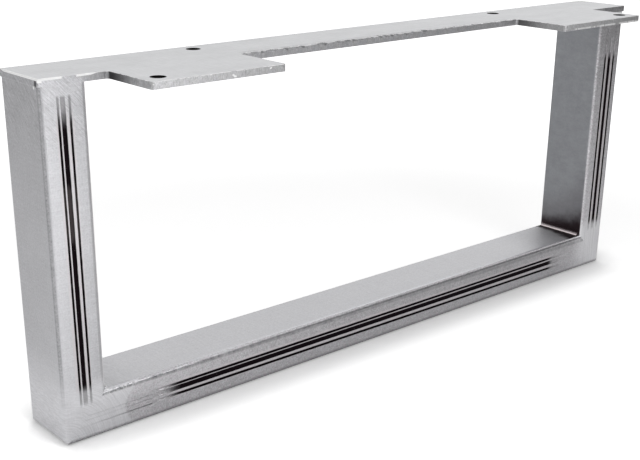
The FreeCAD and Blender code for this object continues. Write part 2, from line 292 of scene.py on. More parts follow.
def roll_grooves(tube, member, along, face_middle, run):
    """Sinks the grooves into the front and back of the open tube, between the two ends of a run."""
    across = 2 - along
    axes = [Vector((1, 0, 0)), Vector((0, 1, 0)), Vector((0, 0, 1))]
    start, _, end, _ = run
    for place in column_places(member):
        saw(axes[across] * (face_middle + place), axes[across], on_skin, keep_both=True)
    reach = max(abs(place) for place in column_places(member)) + 0.1 * MM

    def in_band(face):
        return on_skin(face) and abs(face.calc_center_median()[across] - face_middle) < reach

    for place in station_places(run):
        saw(axes[along] * place, axes[along], in_band, keep_both=True)
    clear_selection()
    depth = tube.vertex_groups.new(name="groove_depth")
    for vertex in tube.data.vertices:
        if near(abs(vertex.co.y), HALF_DEPTH):
            off_middle, place = vertex.co[across] - face_middle, vertex.co[along]
            share = section_share(off_middle, member) * fall_share(place, run)
            depth.add([vertex.index], share, "REPLACE")
            if share > 0 or (start <= place <= end and abs(off_middle) < reach):
                vertex.co[across] += drifted(off_middle, place, member)
    apply_modifier(tube, "DISPLACE", strength=-GROOVE_DEPTH, mid_level=0, vertex_group="groove_depth")


# %% [markdown]
# The three members.
# Each stops its grooves at its own places, measured from the floor, from the plate and from the ends of the
# leg. The mitre planes are shared, so the members meet face to face.

# %% The uprights
FOOT_RUN = {"left": (32 * MM, 26 * MM), "right": (42 * MM, 20 * MM)}
HEAD_RUN = {"left": (7 * MM, 42 * MM), "right": (24 * MM, 36 * MM)}
SIDES = {"left": -1, "right": 1}


def new_upright(name):
    """An upright from the floor to the plate, at the left or right end."""
    side = SIDES[name]
    outer, inner = side * END, side * (END - FACE)
    low = (min(outer, inner), -HALF_DEPTH, 0)
    high = (max(outer, inner), HALF_DEPTH, UNDER_PLATE)
    tube = start_tube(f"{name}_upright_tube", low, high, 2)
    cut_mitre(side, of_rail=False)
    foot, foot_fall = FOOT_RUN[name]
    head, head_fall = HEAD_RUN[name]
    roll_grooves(tube, name, 2, (outer + inner) / 2, (foot, foot_fall, UNDER_PLATE - head, head_fall))
    smooth(tube)
    report(tube)
    return tube


left_upright = new_upright("left")
right_upright = new_upright("right")

# %% The rail
RAIL_RUN = (-END + 84 * MM, 40 * MM, END - 76 * MM, 44 * MM)


def new_rail():
    """The bottom rail, mitred at both ends."""
    tube = start_tube("bottom_rail_tube", (-END, -HALF_DEPTH, 0), (END, HALF_DEPTH, FACE), 0)
    for side in SIDES.values():
        cut_mitre(side, of_rail=True)
    roll_grooves(tube, "rail", 0, FACE / 2, RAIL_RUN)
    smooth(tube)
    report(tube)
    return tube


bottom_rail = new_rail()

# %% [markdown]
# The mounting plate.
# It is cut from 6 mm sheet: a band as deep as the tube, over the whole leg, with an ear near each end, small
# round corners where the cutter turned into the ears, and four screw holes. The band is a block, cut where
# the ears start and end, and the ears are extruded out of its front. One bevel makes the four turned corners,
# a second one takes the points off the ears' own corners, and four cylinders, taken away with Boolean, make
# the holes.

# %% The plate's outline
EAR_OUTER = END - EAR_END_GAP
EAR_INNER = EAR_OUTER - EAR_LENGTH
NOTCH_SEGMENTS = 6
EAR_CORNER = 2.6 * MM


def start_plate():
    """The band with its two ears and its turned inner corners, open in edit mode."""
    plate = start_block("mounting_plate_cut", (-END, -HALF_DEPTH, UNDER_PLATE), (END, HALF_DEPTH, TOP))
    for side in SIDES.values():
        for place in (EAR_INNER, EAR_OUTER):
            saw(Vector((side * place, 0, 0)), Vector((1, 0, 0)), keep_both=True)

    def starts_ear(face):
        place = face.calc_center_median()
        return face.normal.y < -0.99 and EAR_INNER < abs(place.x) < EAR_OUTER

    pick("FACE", starts_ear)
    bpy.ops.mesh.extrude_region_move(TRANSFORM_OT_translate={"value": (0, EAR_FRONT + HALF_DEPTH, 0)})
    bpy.ops.mesh.select_all(action="SELECT")
    bpy.ops.mesh.dissolve_limited(angle_limit=math.radians(1))

    def turned(edge):
        place = middle(edge)
        at_ear = near(abs(place.x), EAR_INNER) or near(abs(place.x), EAR_OUTER)
        return runs_along(edge, 2) and at_ear and near(place.y, -HALF_DEPTH)

    print("turned corners:", pick("EDGE", turned))
    bpy.ops.mesh.bevel(offset=NOTCH_RADIUS, segments=NOTCH_SEGMENTS, affect="EDGES")
    print("ear corners:", pick("EDGE", lambda edge: runs_along(edge, 2) and near(middle(edge).y, EAR_FRONT)))
    bpy.ops.mesh.bevel(offset=EAR_CORNER, segments=NOTCH_SEGMENTS, affect="EDGES")
    return plate


# %% The screw holes
HOLE_SIDES = 48


def drill(plate, across, along):
    """Drills one screw hole through the plate."""
    clear_selection()
    place = (across, along, (UNDER_PLATE + TOP) / 2)
    length = 4 * (TOP - UNDER_PLATE)
    bpy.ops.mesh.primitive_cylinder_add(vertices=HOLE_SIDES, radius=HOLE_RADIUS, depth=length, location=place)
    drill_bit = bpy.context.object
    apply_modifier(plate, "BOOLEAN", operation="DIFFERENCE", solver="EXACT", object=drill_bit)
    bpy.data.objects.remove(drill_bit)


# %% [markdown]
# The ragged edge.
# Between the ears the cutter left a ragged top edge: a chain of small scallops with burrs. The straight edge
# is cut into short stretches and bevelled, so that it has an upper and a lower line, and then each point of
# the lower line is pulled down and each of the upper one pulled back by its own small amount. Smooth noise
# sets the amounts, a slow wave for the scallops and a quick one for the burrs, so they never repeat. Towards
# the right the cutter ran calmer, so the amounts shrink there.

# %% Cutting the ragged edge
RAG_PITCH = 1.5 * MM
RAG_BEVEL = 0.7 * MM
SCALLOP_LENGTH = 9 * MM
BURR_LENGTH = 2.3 * MM
BITE_DOWN = 0.75 * MM
BITE_BACK = 3.4 * MM
CALM_FROM = 20 * MM
CALM_LENGTH = 100 * MM
CALM_SHARE = 0.75


def rag(place, seed):
    """How ragged the edge is at a place along it, from about -1 to 1."""
    slow = noise.noise(Vector((place / SCALLOP_LENGTH, seed, 0)))
    quick = noise.noise(Vector((place / BURR_LENGTH, seed, 7.7)))
    return 1.1 * slow + 0.9 * quick


def rag_front_edge():
    """Gives the open plate its ragged top edge between the ears."""
    reach = EAR_INNER - NOTCH_RADIUS - 1 * MM
    count = round(2 * reach / RAG_PITCH)

    def on_front(face):
        place = face.calc_center_median()
        return face.normal.y < -0.99 and abs(place.x) < reach and near(place.y, -HALF_DEPTH)

    for step in range(count + 1):
        saw(Vector((-reach + 2 * reach * step / count, 0, 0)), Vector((1, 0, 0)), on_front, keep_both=True)

    def on_rag(edge):
        place = middle(edge)
        on_top_edge = near(place.y, -HALF_DEPTH) and near(place.z, TOP)
        return runs_along(edge, 0) and abs(place.x) < reach and on_top_edge

    pick("EDGE", on_rag)
    bpy.ops.mesh.bevel(offset=RAG_BEVEL, segments=1, affect="EDGES")
    for step in range(1, count):
        place = -reach + 2 * reach * step / count
        calm = min(max((place - CALM_FROM) / CALM_LENGTH, 0), 1)
        bite = max(0.45 + rag(place, 5.1) * 2.2, -0.1) * (1 - CALM_SHARE * calm)
        pick("VERT", lambda v: near(v.co.x, place) and near(v.co.z, TOP - RAG_BEVEL))
        bpy.ops.transform.translate(value=(0, 0, -BITE_DOWN * bite - 0.25 * MM * rag(place, 1.3)))
        pick("VERT", lambda v: near(v.co.x, place) and near(v.co.y, RAG_BEVEL - HALF_DEPTH))
        bpy.ops.transform.translate(value=(0, BITE_BACK * bite - 0.5 * MM, 0))


# %% Making the plate
def new_plate():
    """The whole mounting plate."""
    plate = start_plate()
    rag_front_edge()
    for side in SIDES.values():
        drill(plate, side * (EAR_OUTER - HOLE_INSET), EAR_FRONT + HOLE_INSET)
        drill(plate, side * (EAR_INNER + HOLE_INSET), HALF_DEPTH - HOLE_INSET)
    apply_modifier(plate, "BEVEL", width=0.45 * MM, segments=2, limit_method="ANGLE",
                   angle_limit=math.radians(60), harden_normals=False)
    smooth(plate)
    report(plate)
    return plate


mounting_plate = new_plate()

# %% [markdown]
# The welds.
# Inside the frame, where no grinder reaches, the beads are left standing: a small fillet in the corner
# between two faces, with the ripples that each drop of metal leaves as the torch moves on. A block in the
# corner has its outer edge bevelled as far as its size allows, which is the fillet, is cut across every
# fraction of a millimetre, and Displace then swells every other cut by its weight. Under the plate the beads
# run out before the front face, so their first cuts are scaled down towards the root of the weld.

# %% Laying a bead
RIPPLE_PITCH = 1.3 * MM
RIPPLE_CUTS = 4
RIPPLE_HEIGHT = 0.16 * MM
TAPER_CUTS = 18
TAPER_TIP = 0.08


def taper_front(front, pitch, root):
    """Lets a bead run out towards its front end, where the tube's face was ground."""
    for cut in range(TAPER_CUTS):
        place = front + pitch * cut
        pick("VERT", lambda v: near(v.co.y, place))
        share = TAPER_TIP + (1 - TAPER_TIP) * cut / TAPER_CUTS
        bpy.ops.transform.resize(value=(share, 1, share), center_override=(root.x, place, root.z))


def new_weld(name):
    """A rippled bead in the place of one of the solid ones."""
    low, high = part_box(name)
    side = 1 if low.x > 0 else -1
    up = 1 if low.z < TOP / 2 else -1
    bead = start_block(f"{name}_bead", low, high)
    root = Vector((max(abs(low.x), abs(high.x)) * side, 0, low.z if up > 0 else high.z))
    crown = Vector((min(abs(low.x), abs(high.x)) * side, 0, high.z if up > 0 else low.z))

    def at_crown(edge):
        place = middle(edge)
        return runs_along(edge, 1) and near(place.x, crown.x) and near(place.z, crown.z)

    pick("EDGE", at_crown)
    bpy.ops.mesh.bevel(offset=WELD_LEG * 0.98, segments=8, profile=0.42, affect="EDGES")
    cuts = round((high.y - low.y) / RIPPLE_PITCH) * RIPPLE_CUTS
    for cut in range(1, cuts):
        place = low.y + (high.y - low.y) * cut / cuts
        saw(Vector((0, place, 0)), Vector((0, 1, 0)), keep_both=True)
    if up < 0:
        taper_front(low.y, (high.y - low.y) / cuts, root)
    clear_selection()
    ripples = bead.vertex_groups.new(name="ripples")
    for vertex in bead.data.vertices:
        x, y, z = vertex.co
        off_faces = min(abs(x - root.x), abs(z - root.z)) / WELD_LEG
        wander = 0.25 * noise.noise(Vector((y / (6 * MM), side, up)))
        phase = (y - low.y) / RIPPLE_PITCH + off_faces * 0.8 + wander
        uneven = 0.7 + 0.6 * noise.noise(Vector((y / (4 * MM), up, side)))
        swell = abs(math.sin(math.pi * phase)) * uneven
        ripples.add([vertex.index], min(max(swell * min(off_faces * 6, 1), 0), 1), "REPLACE")
    apply_modifier(bead, "DISPLACE", strength=RIPPLE_HEIGHT, mid_level=0, vertex_group="ripples")
    smooth(bead, 50)
    report(bead)
    return bead


WELD_NODES = ["left_corner_weld", "right_corner_weld", "left_plate_weld", "right_plate_weld"]
welds = {name: new_weld(name) for name in WELD_NODES}

# %% [markdown]
# Shader sums as Python sums.
# A finish is arithmetic on places: how far a point is from a weld, how deep it lies in a groove, whether it
# is nearer the rail or the upright. In the shader editor each sign is a Math node. Here one small class wraps
# a node's output, so that a plain Python expression adds those nodes, and one method makes any other node.

# %% A number in a shader
class Number:
    """A node's output that Python's own signs work on."""

    def __init__(self, recipe, link):
        self.recipe = recipe
        self.link = link

    def __add__(self, other):
        return self.recipe.sum("ADD", self, other)

    def __sub__(self, other):
        return self.recipe.sum("SUBTRACT", self, other)

    def __rsub__(self, other):
        return self.recipe.sum("SUBTRACT", other, self)

    def __mul__(self, other):
        return self.recipe.sum("MULTIPLY", self, other)

    def __truediv__(self, other):
        return self.recipe.sum("DIVIDE", self, other)

    def __abs__(self):
        return self.recipe.sum("ABSOLUTE", self)

    __radd__ = __add__
    __rmul__ = __mul__


# %% A recipe of nodes
class Recipe:
    """The nodes of one material, added one by one."""

    def __init__(self, tree):
        self.tree = tree
        self.tree.nodes.clear()

    def add(self, kind, settings=None, sockets=None, output=0):
        """Adds any node: its settings first, then the values or links of its sockets."""
        node = self.tree.nodes.new(kind)
        for name, value in (settings or {}).items():
            setattr(node, name, value)
        for name, value in (sockets or {}).items():
            if isinstance(value, Number):
                self.tree.links.new(value.link, node.inputs[name])
            else:
                node.inputs[name].default_value = value
        return Number(self, node.outputs[output]) if node.outputs else None

    def sum(self, operation, *terms):
        """One Math node."""
        return self.add("ShaderNodeMath", {"operation": operation}, dict(enumerate(terms)))

    def least(self, a, b):
        """The smaller of two numbers."""
        return self.sum("MINIMUM", a, b)

    def most(self, a, b):
        """The larger of two numbers."""
        return self.sum("MAXIMUM", a, b)

    def rise(self, value, low, high):
        """0 below low, 1 above high, and a gentle climb between."""
        sockets = {"Value": value, "From Min": low, "From Max": high}
        return self.add("ShaderNodeMapRange", {"interpolation_type": "SMOOTHSTEP"}, sockets)

    def fall(self, value, low, high):
        """1 below low, 0 above high, and a gentle slope between."""
        return 1 - self.rise(value, low, high)

    def between(self, value, low, low_full, high_full, high):
        """1 between two ends, each with its own gentle slope, and 0 outside them."""
        return self.rise(value, low, low_full) * self.fall(value, high_full, high)

    def vector(self, x, y, z):
        """Three numbers as one vector."""
        return self.add("ShaderNodeCombineXYZ", None, {"X": x, "Y": y, "Z": z})

    def noise(self, vector, detail=2.0, roughness=0.5):
        """Soft noise around 0, from about -0.5 to 0.5, with features one unit of the vector long."""
        sockets = {"Vector": vector, "Scale": 1.0, "Detail": detail, "Roughness": roughness}
        return self.add("ShaderNodeTexNoise", None, sockets) - 0.5

    def mix(self, share, first, second, way="MIX"):
        """One colour passing into another."""
        def colour(value):
            return value if isinstance(value, Number) else (*value, 1.0)
        settings = {"data_type": "RGBA", "blend_type": way}
        return self.add("ShaderNodeMix", settings, {0: share, 6: colour(first), 7: colour(second)}, output=2)

    def place(self):
        """The three coordinates of a point on the leg, in millimetres."""
        here = self.add("ShaderNodeTexCoord", output="Object")
        scaled = self.add("ShaderNodeVectorMath", {"operation": "SCALE"}, {0: here, "Scale": 1 / MM})
        return [self.add("ShaderNodeSeparateXYZ", None, {0: scaled}, output=axis) for axis in range(3)]


def new_recipe(name):
    """An empty material with its recipe."""
    material = bpy.data.materials.new(name)
    material.use_nodes = True
    return material, Recipe(material.node_tree)


def finish_metal(recipe, colour, roughness, height, bump_depth, metallic=1.0):
    """Closes a recipe with the metal's shader."""
    bump = recipe.add("ShaderNodeBump", None, {"Height": height, "Distance": bump_depth, "Strength": 1.0})
    sockets = {"Base Color": colour, "Roughness": roughness, "Metallic": metallic, "Normal": bump,
               "Specular IOR Level": 0.0}
    shader = recipe.add("ShaderNodeBsdfPrincipled", None, sockets)
    recipe.add("ShaderNodeOutputMaterial", None, {"Surface": shader})


# %% [markdown]
# The tube's finish.
# The tube is bright steel, brushed along its length. The corners were sanded again after welding, so their
# marks run slantwise and in arcs. The insides of the uprights keep the darker skin of the mill, with painted
# shade over it for the inside of the frame, the grooves keep their black scale, because no belt reaches their
# floors, and the weld at the right has browned the metal beside it, which also carries painted shade in the
# inside corners. All three members share one material that knows where it is on the leg, so that the marks
# run on across the mitres as they do across ground welds.

# %% Where on the leg
END_MM = END / MM
FACE_MM = FACE / MM
DEPTH_MM = HALF_DEPTH / MM
PLATE_MM = UNDER_PLATE / MM
TOP_MM = TOP / MM
EAR_FRONT_MM = EAR_FRONT / MM
EAR_INNER_MM = EAR_INNER / MM


class Spot:
    """Masks and distances that every finish of the leg asks for."""

    def __init__(self, recipe):
        self.recipe = recipe
        self.x, self.y, self.z = recipe.place()
        self.from_end = END_MM - abs(self.x)
        self.in_rail = recipe.rise(self.from_end - self.z, -0.3, 0.3)
        self.in_upright = 1 - self.in_rail
        self.at_left = recipe.fall(self.x, -1, 1)
        face_middle = END_MM - FACE_MM / 2
        across_upright = self.x + self.by_side(face_middle, 0 - face_middle)
        self.across = across_upright * self.in_upright + (self.z - FACE_MM / 2) * self.in_rail
        self.off_middle = abs(across_upright) * self.in_upright + abs(self.z - FACE_MM / 2) * self.in_rail
        self.along = (self.z - DRIFT_FROM["left"]) * self.in_upright + self.x * self.in_rail
        self.on_outer_side = recipe.rise(0 - self.x, END_MM - 1.0, END_MM - 0.3)
        self.on_skin = recipe.rise(abs(self.y), DEPTH_MM - 3.6, DEPTH_MM - 2.6)
        self.into_groove = self.nearest_groove()

    def nearest_groove(self):
        """How far inside the rim of the nearest groove, below 0 outside it, in millimetres."""
        r = self.recipe
        insides = []
        places, drifts = zip(*GROOVE_PLACES.values()), zip(*GROOVE_DRIFT.values())
        for width, place, drift in zip(GROOVE_WIDTHS, places, drifts):
            centre = self.of_member(*place) + self.along * self.of_member(*drift)
            insides.append(width / 2 / MM - abs(self.across - centre))
        return r.most(r.most(insides[0], insides[1]), insides[2])

    def of_member(self, left, right, rail):
        """One number on each of the three members."""
        return self.by_side(left, right) * self.in_upright + self.in_rail * rail

    def streaks(self, x_long, y_long, z_long, detail=3.0):
        """Noise drawn out by a length in millimetres along each axis."""
        r = self.recipe
        return r.noise(r.vector(self.x / x_long, self.y / y_long, self.z / z_long), detail, 0.6)

    def by_side(self, left, right):
        """One number on the left half of the leg and another on the right half."""
        return right + (left - right) * self.at_left

    def length(self, x, y, z):
        """The length of a step in millimetres."""
        r = self.recipe
        return r.add("ShaderNodeVectorMath", {"operation": "LENGTH"}, {0: r.vector(x, y, z)}, output=1)


# %% [markdown]
# The sanding.
# Each part of the leg met the belt in its own way. The left upright is brushed bright along its length, the
# rail and the right upright were only wiped over and still show the grainy skin of the mill, and the corners
# were ground bright after welding, with arcs that turn about the outer corner. A mark is a streak of noise
# that is long one way and thin the other, so a noise texture on coordinates divided by different lengths
# gives each kind. The marks move the colour, the roughness and the surface together, as real scratches do.
# Over them each member is painted lighter or darker by place, partly for uneven rubbing and partly as painted
# light and shade, and the round edges are darkened, partly the mill's skin and partly painted shade, with a
# painted contact shade along the foot.

# %% Sanding marks
def lighter_darker(recipe, colour, share):
    """A colour made darker below 0 and lighter above it, by a share."""
    dark = recipe.mix(1.0, colour, (0.5, 0.5, 0.5), "MULTIPLY")
    light = recipe.mix(1.0, colour, (1.5, 1.5, 1.5), "MULTIPLY")
    return recipe.mix(0.5 + share, dark, light)


def foot_patch(recipe, spot):
    """1 where a bottom corner was ground after welding: sharply bounded at the left, softly at the right."""
    wander = spot.streaks(30, 30, 30, 2.0)
    bow = (spot.z - 18) * (spot.z - 18) * spot.by_side(0.034, 0.010)
    edge = spot.by_side(57, 44 + wander * 16) + bow
    soft = spot.by_side(1.2, 24)
    on_rail = recipe.fall(spot.from_end, edge - soft, edge + soft)
    side = spot.on_outer_side
    on_upright = recipe.fall(spot.z + wander * 14, 42 - side * 16, spot.by_side(58, 66) + side * 24)
    return on_rail * spot.in_rail + on_upright * spot.in_upright


def head_patch(recipe, spot):
    """1 where the top of an upright was sanded slantwise with the plate's edge."""
    wander = spot.streaks(24, 24, 24, 2.0)
    return recipe.rise(spot.z + wander * 34, PLATE_MM - 66, PLATE_MM - 22)


def edge_skin_and_shade(recipe, spot):
    """How much the round edges are darkened: partly the mill's dark skin, where a flat belt doesn't reach,
    partly painted shade for their dark reflections, with a painted contact shade along the foot where the leg
    stands.
    """
    r = recipe
    ragged = 0.8 + spot.streaks(4, 4, 4, 2.0) * 2.2
    under_rim = spot.across + spot.x * 0.005
    strength = r.fall(spot.x, -260, 40) * 0.20 + 0.40
    # The round edges: partly the mill's dark skin, partly painted shade for their dark reflections.
    rail_top_edge = r.between(under_rim, 13.0, 14.8, 16.6, 17.8) * strength * ragged
    rail_foot_edge = r.rise(0 - spot.across, 14.8, 17.5) * 0.45 + r.rise(0 - spot.across, 17.6, 18.8) * 0.40
    inner_edge = r.between(spot.across, 15.4, 16.2, 16.9, 17.6) * spot.at_left * 0.30
    right_edge = r.rise(spot.across, 14.6, 16.4) * (1 - spot.at_left) * 0.36
    left_edge = r.rise(0 - spot.across, 17.4, 18.4) * spot.at_left * 0.42
    above_foot = r.rise(spot.z, 20, 80) * spot.in_upright
    edges = (rail_top_edge + rail_foot_edge) * spot.in_rail
    edges = edges + (inner_edge + right_edge + left_edge) * above_foot
    # A painted contact shade along the bottom, where the leg stands on the floor.
    contact_shade = r.fall(spot.z, 0.8, 4.0) * 0.40
    return r.most(spot.on_skin * edges, contact_shade)


def rubbing_and_painted_light(recipe, spot):
    """How much brighter or darker than its middle each member is painted, from end to end or side to side:
    partly uneven rubbing, partly painted light and shade.
    """
    r = recipe
    left = spot.across * -0.0055
    # Painted light: the right upright lighter towards the floor.
    right = (140 - spot.z) * 0.0019 - 0.03
    upper = r.fall(spot.x, -290, -150) * 0.11 - r.rise(spot.x, -220, -20) * 0.11
    rail = upper * r.rise(spot.across, 1, 10) + r.rise(spot.x, 0, 200) * r.fall(spot.across, -8, 0) * 0.07
    rail = rail + r.fall(spot.x, -308, -294) * 0.04 + 0.02
    # Painted shade: the left upright's outer side darker, and darker still towards the top.
    outer_side_shade = spot.on_outer_side * (-0.175 - r.rise(spot.z, 170, 290) * 0.13)
    return (spot.by_side(left, right) + outer_side_shade) * spot.in_upright + rail * spot.in_rail


def sanded(recipe, spot, round_edges=1.0):
    """The colour, the roughness and the mark height of the sanded steel, with its painted light and shade,
    before scale and heat.
    """
    r = recipe
    foot, head = foot_patch(r, spot), head_patch(r, spot)
    brushed = spot.streaks(0.9, 0.9, 60) * spot.in_upright + spot.streaks(60, 0.9, 0.9) * spot.in_rail
    cross = spot.streaks(45, 45, 0.9) * spot.in_upright + spot.streaks(1.1, 30, 6) * spot.in_rail
    grain = spot.streaks(1.5, 1.5, 1.5, 2.0)
    blotches = spot.streaks(3.6, 3.6, 3.0, 3.0)
    cloud = spot.streaks(34, 34, 34, 2.0)
    level = spot.x - spot.y
    down_right = level + spot.z + spot.streaks(20, 20, 20) * 4
    slantwise = r.noise(r.vector(down_right, (level - spot.z) / 18, 0), 2.0, 0.6)
    reach = spot.length(spot.x + END_MM, 0, spot.z)
    wavy = spot.streaks(14, 14, 14, 1.0) * 3
    arcs = r.noise(r.vector(reach / 1.1 + wavy, spot.y / 6, spot.x / 16), 2.0, 0.6)
    grainy = spot.of_member(0.25, 1.0, 1.0) * (1 - foot)

    marks = brushed * 0.4 + cross * 0.7 * (1 - foot) + arcs * foot * 1.7 + slantwise * head * 3.0
    shade = marks * 0.30 + cloud * 0.12 + grain * (0.20 + grainy * 0.90) + blotches * grainy * 0.55
    # Painted light and shade by place on each member, with some uneven rubbing; the left foot patch is darker
    # towards the floor.
    shade = shade + rubbing_and_painted_light(r, spot) * (1 - foot) + (spot.z - 24) * foot * spot.by_side(0.003, 0)
    plain = r.mix(spot.in_rail, (0.60, 0.595, 0.61), (0.55, 0.545, 0.56))
    bright = r.mix(spot.at_left * spot.in_upright, plain, (0.645, 0.65, 0.665))
    bright = r.mix(foot, bright, r.mix(spot.at_left, (0.87, 0.875, 0.89), (0.725, 0.73, 0.745)))
    tint = r.mix(0.5 + spot.streaks(3, 3, 3, 1.0) * 1.8 * grainy, (1.03, 0.98, 1.01), (0.98, 1.01, 1.0))
    colour = lighter_darker(r, r.mix(1.0, bright, tint, "MULTIPLY"), shade)
    # Painted shade on the round edges, over the mill's dark skin that is left there, and a painted contact
    # shade at the foot.
    colour = r.mix(edge_skin_and_shade(r, spot) * (1 + grain * 3) * round_edges, colour, (0.16, 0.16, 0.17))
    # A near-white strip on the left upright's inner round edge: partly rubbed bare, partly a painted
    # highlight.
    edge_strip = r.rise(spot.across, 17.4, 18.6) * spot.on_skin * spot.at_left * spot.in_upright
    colour = r.mix(edge_strip * round_edges * 0.9, colour, (0.97, 0.97, 0.97))
    roughness = 0.36 + foot * 0.08 + head * 0.05 + marks * 0.12
    return colour, roughness, marks + grain * (0.3 + grainy * 0.7)


# %% [markdown]
# Scale, heat, skin and painted shade.
# No belt reaches the floors of the grooves, so they keep their black scale. It sets in a little after each
# groove starts, because the corners were ground, and one stretch at the left has worn brown; the grooves are
# also darkened along their whole run. The ridges between the grooves stand proud, are rubbed bright and carry
# a painted highlight. The insides of the uprights keep the darker skin of the mill with painted shade over
# it, and the weld at the right, laid last and hottest, has burnt the metal round it brown, with painted shade
# darkening the inside corners there. A few single marks, such as a painted shadow and two painted glints at
# one corner, are placed by their distance from a measured point.

# %% Where the scale starts and ends
GROOVE_RUNS = {"left": (30, 36, 284, 287), "right": (43, 48, 252, 292), "rail": (-300, -248, 266, 298)}
SCALE_RUNS = {"left": (38, 54, 250, 288), "right": (47, 60, 238, 256), "rail": (-272, -238, 258, 276)}
SCALE_SPREAD = (-0.05, -0.55, -0.35)
WORN_SCALE = (165, 222)


def along_run(recipe, spot, runs):
    """1 between the ends of a run along each member, with a gentle start and end."""
    upright_run = [spot.by_side(*ends) for ends in zip(runs["left"], runs["right"])]
    on_upright = recipe.between(spot.z, *upright_run) * spot.in_upright
    return on_upright + recipe.between(spot.x, *runs["rail"]) * spot.in_rail


def scaled(recipe, spot, colour, roughness):
    """Blackens the grooves up to their rims, darkens them along their whole run, and makes the ridges between
    them bright: rubbed bright, with a painted highlight.
    """
    r = recipe
    along = along_run(r, spot, SCALE_RUNS)
    patchy = spot.streaks(2.5, 2.5, 9) * spot.in_upright + spot.streaks(9, 2.5, 2.5) * spot.in_rail
    inside = r.rise(spot.into_groove - spot.of_member(*SCALE_SPREAD) + patchy * 0.5, -0.05, 0.45)
    scale = inside * r.rise(along + patchy * 0.5, 0.0, 0.9)
    # The grooves are darkened along their whole run, also beyond where the scale sets in.
    groove_darkening = inside * along_run(r, spot, GROOVE_RUNS) * spot.of_member(0.58, 0.35, 0.30)
    between = r.fall(abs(spot.across), 7.4, 7.8) * (1 - inside) * r.rise(along, 0.05, 0.8)
    # The ridges: rubbed bright, with a painted highlight.
    ridge_polish_and_highlight = between * (0.55 + patchy * 1.6)
    colour = r.mix(ridge_polish_and_highlight, colour, (0.70, 0.655, 0.675))
    colour = r.mix(groove_darkening, colour, (0.20, 0.19, 0.20))

    low, high = WORN_SCALE
    worn = r.between(spot.z + patchy * 16, low, low + 12, high - 12, high) * spot.at_left
    black = r.mix(worn * spot.in_upright, (0.010, 0.006, 0.008), (0.066, 0.056, 0.058))
    specks = r.rise(spot.streaks(1.2, 1.2, 1.2, 1.0), 0.22, 0.30)
    black = r.mix(specks * 0.7, black, (0.26, 0.23, 0.23))
    return r.mix(scale, colour, black), roughness + scale * 0.25 - ridge_polish_and_highlight * 0.06, scale


# %% Where the heat has been, and the painted shade in the inside corners
def heat_and_corner_shade(recipe, spot, colour, inside, rail_top):
    """Browns the metal round the bottom welds with heat and darkens it with painted shade in the inside
    corners, more at the right and towards the front.
    """
    r = recipe
    from_weld = spot.length(spot.from_end - FACE_MM, 0, spot.z - FACE_MM)
    away = from_weld * (0.8 + (spot.y + DEPTH_MM) * 0.02) + spot.streaks(10, 10, 10) * 16
    place = r.most(inside, rail_top) * spot.by_side(0.30, 1.0)
    # Painted shade in the inside corners, together with the heat's dulling and browning.
    dulled_and_shaded = r.fall(away + rail_top * 8, 20, 85) * place
    burnt_and_shaded = r.fall(away, 9 + rail_top * 2, 32 - rail_top * 8) * place * place
    colour = r.mix(dulled_and_shaded * (0.45 - rail_top * 0.33), colour, (0.10, 0.085, 0.09))
    return r.mix(burnt_and_shaded * 0.96, colour, (0.030, 0.019, 0.022))


# %% Single marks
NEAR_WHITE = (0.98, 0.98, 0.98)
CORNER_SHADOW = (-26.4, 296.2)
CORNER_GLINTS = [(-29.6, 298.2), (-23.4, 292.9)]
WELD_END = (-317.7, -29.0, 40.6)


def marked(recipe, spot, colour):
    """A painted shadow and two painted glints at the front left top corner, a weld's bright end, and a seam
    under the plate.
    """
    r = recipe
    at_end = r.fall(spot.x, 3 - END_MM, 4 - END_MM)
    along, high = CORNER_SHADOW
    # A painted shadow under the plate's corner, where the tube's round corner falls away.
    from_corner_shadow = spot.length(spot.y - along, (spot.z - high) * 0.7, 0) + spot.streaks(2, 2, 2) * 1.5
    colour = r.mix(r.fall(from_corner_shadow, 1.3, 2.3) * at_end * 0.85, colour, (0.06, 0.06, 0.065))
    # Two painted glints beside it.
    for along, high in CORNER_GLINTS:
        glint = r.fall(spot.length(spot.y - along, spot.z - high, 0), 0.9, 1.5)
        colour = r.mix(glint * at_end, colour, NEAR_WHITE)
    x, y, z = WELD_END
    end = r.fall(spot.length(spot.x - x, spot.y - y, spot.z - z), 1.5, 2.1)
    seam = r.between(spot.z, 290.6, 291.4, 293.6, 293.9) * r.rise(spot.x, 336, 346)
    seam = seam * r.fall(spot.y, 0.3 - DEPTH_MM, 0.8 - DEPTH_MM)
    return r.mix(r.most(end, seam), colour, NEAR_WHITE)


# %% The tube's material
def tube_finish():
    """The material of the three tubes."""
    material, r = new_recipe("brushed_tube_steel")
    spot = Spot(r)
    colour, roughness, marks = sanded(r, spot)

    inside = r.fall(abs(spot.x), END_MM - FACE_MM + 0.3, END_MM - FACE_MM + 1.0) * spot.in_upright
    rail_top = r.rise(spot.z, FACE_MM - 0.7, FACE_MM - 0.2) * spot.in_rail
    # The inner faces of the uprights: the mill's darker skin, with painted shade for the inside of the frame.
    skin_and_shade = r.mix(0.5 + spot.streaks(12, 12, 40) * 0.5, (0.26, 0.27, 0.29), (0.35, 0.36, 0.38))
    skin_and_shade = lighter_darker(r, skin_and_shade, spot.streaks(9, 14, 6, 4.0) * 0.42)
    colour = r.mix(inside * 0.9, colour, skin_and_shade)
    colour = r.mix(rail_top * 0.85, colour, lighter_darker(r, (0.67, 0.67, 0.69), marks * 0.25))

    colour = marked(r, spot, heat_and_corner_shade(r, spot, colour, inside, rail_top))
    colour, roughness, scale = scaled(r, spot, colour, roughness)
    dome = spot.off_middle * spot.off_middle * -0.035
    roughness = roughness + rail_top * r.rise(spot.x, 210, 290) * 0.22
    finish_metal(r, colour, roughness, marks * 1.5 + dome, 0.02 * MM, metallic=1 - scale * 0.25)
    return material


